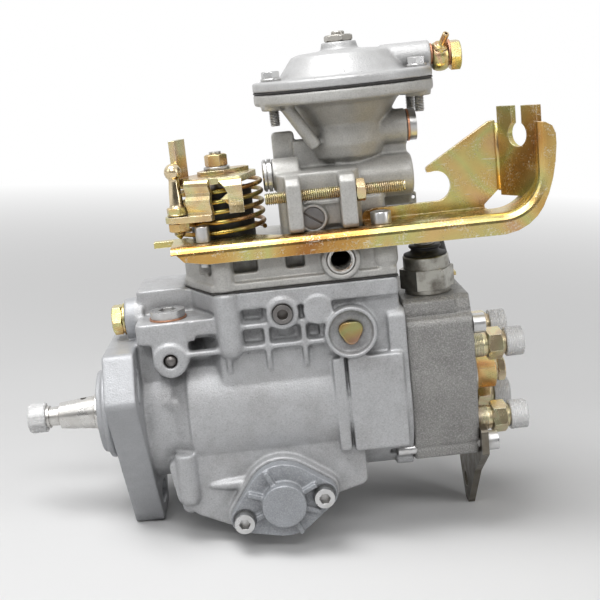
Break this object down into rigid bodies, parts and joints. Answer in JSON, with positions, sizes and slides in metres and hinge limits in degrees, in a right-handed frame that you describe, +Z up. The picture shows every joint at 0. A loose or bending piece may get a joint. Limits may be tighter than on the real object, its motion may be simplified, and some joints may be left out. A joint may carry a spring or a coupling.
{
  "type": "rotary diesel injection pump",
  "caption": "Rotary distributor injection pump for a diesel engine, with a boost compensator, sprung throttle lever, cable bracket and shut-off solenoid.",
  "frame": {"origin": "centre of the pilot, on the mounting face of the three-eared flange", "axes": "-X out along the tapered drive shaft, +X towards the fuel outlets, +Z up to the boost compensator, -Y on the side with the cable bracket"},
  "size_m": [0.2764, 0.116, 0.2653],
  "materials": {
    "black_plastic": "matt",
    "black_rubber": "matt",
    "brass": "plain",
    "bronze": "bearing bronze",
    "cast_aluminium": "as cast, sand-blasted",
    "cast_iron": "machined and lightly worn",
    "clear_cap": "milky, translucent",
    "copper": "soft copper",
    "gasket": "matt",
    "gold_zinc": "yellow zinc plated",
    "steel": "ground",
    "zinc": "zinc plated"
  },
  "bodies": {
    "pump": {"pump_housing": "cast_aluminium", "shaft_bush": "bronze", "shaft_seal": "black_rubber", "feed_pump_case": "steel", "governor_pins": "steel", "distributor_head": "cast_iron", "plunger_barrel": "steel", "head_plug": "gold_zinc", "bleed_screw": "brass", "delivery_valve_holders": "gold_zinc", "outlet_caps": "clear_cap", "head_screws": "zinc", "rear_support_plate": "zinc", "solenoid_body": "zinc", "solenoid_boot": "black_rubber", "solenoid_terminal": "zinc", "timing_cover_near": "cast_aluminium", "timing_cover_far": "cast_aluminium", "timing_spring": "steel", "inlet_plug": "zinc", "inlet_bolt": "gold_zinc", "core_plugs": "zinc", "pivot_plug": "gold_zinc", "cover_gasket": "gasket", "governor_cover": "cast_aluminium", "cover_screws": "zinc", "return_port": "zinc", "speed_screw": "gold_zinc", "side_plugs": "zinc", "boost_cover": "cast_aluminium", "boost_diaphragm": "black_rubber", "boost_cover_screws": "zinc", "boost_adjuster": "zinc", "boost_spring": "steel", "boost_banjo": "zinc", "copper_washers": "copper", "cable_bracket": "gold_zinc", "bracket_screws": "zinc", "spring_spool": "black_plastic", "return_spring": "gold_zinc", "clip_bracket": "gold_zinc", "clip_sleeve": "black_plastic"},
    "drive": {"drive_shaft": "steel", "thread_cap": "clear_cap", "drive_gear": "steel", "feed_pump_rotor": "steel", "cam_disc": "steel", "distributor_plunger": "steel"},
    "governor": {"flyweight_cage": "steel"},
    "sleeve": {"governor_sleeve": "steel"},
    "governor_arm": {"governor_lever": "steel"},
    "spool": {"control_spool": "steel"},
    "rollers": {"roller_ring": "steel"},
    "piston": {"timing_piston": "steel"},
    "throttle": {"control_shaft": "steel", "throttle_lever": "gold_zinc", "ball_stud": "gold_zinc", "lever_nut": "gold_zinc"},
    "boost": {"boost_pin": "steel"},
    "shut_off": {"solenoid_armature": "steel"}
  },
  "joints": [
    {"name": "drive_spin", "type": "hinge", "parent": "pump", "child": "drive", "pos_m": [0, 0, 0], "axis": [1, 0, 0], "continuous": true},
    {"name": "governor_spin", "type": "hinge", "parent": "pump", "child": "governor", "pos_m": [0.056, 0, 0.046], "axis": [1, 0, 0], "continuous": true},
    {"name": "sleeve_slide", "type": "slide", "parent": "pump", "child": "sleeve", "axis": [1, 0, 0], "range_m": [0, 0.0024]},
    {"name": "governor_arm_tilt", "type": "hinge", "parent": "pump", "child": "governor_arm", "pos_m": [0.1175, 0, 0.022], "axis": [0, 1, 0], "range_deg": [0, 6]},
    {"name": "spool_slide", "type": "slide", "parent": "pump", "child": "spool", "axis": [1, 0, 0], "range_m": [-0.0014, 0]},
    {"name": "ring_advance", "type": "hinge", "parent": "pump", "child": "rollers", "pos_m": [0.0805, 0, 0], "axis": [1, 0, 0], "range_deg": [-8, 8]},
    {"name": "piston_slide", "type": "slide", "parent": "pump", "child": "piston", "axis": [0, 1, 0], "range_m": [-0.0057, 0.0057], "deforming": ["timing_spring"]},
    {"name": "throttle_swing", "type": "hinge", "parent": "pump", "child": "throttle", "pos_m": [0.0648, -0.013, 0.1], "axis": [0, 0, -1], "range_deg": [0, 45], "stiffness_Nm_per_rad": 0.4, "springref_deg": -34.38, "deforming": ["return_spring"]},
    {"name": "boost_pin_slide", "type": "slide", "parent": "pump", "child": "boost", "axis": [0, 0, 1], "range_m": [-0.005, 0], "stiffness_N_per_m": 1500, "springref_m": 0.004, "deforming": ["boost_spring"]},
    {"name": "solenoid_slide", "type": "slide", "parent": "pump", "child": "shut_off", "axis": [0, 0, 1], "range_m": [0, 0.002], "stiffness_N_per_m": 800, "springref_m": -0.003}
  ],
  "couplings": [
    {"joint": "governor_spin", "follows": "drive_spin", "ratio": -1.6667},
    {"joint": "governor_arm_tilt", "follows": "sleeve_slide", "rad_per_m": 41.667},
    {"joint": "spool_slide", "follows": "sleeve_slide", "ratio": -0.52083},
    {"joint": "piston_slide", "follows": "ring_advance", "m_per_rad": 0.04}
  ]
}
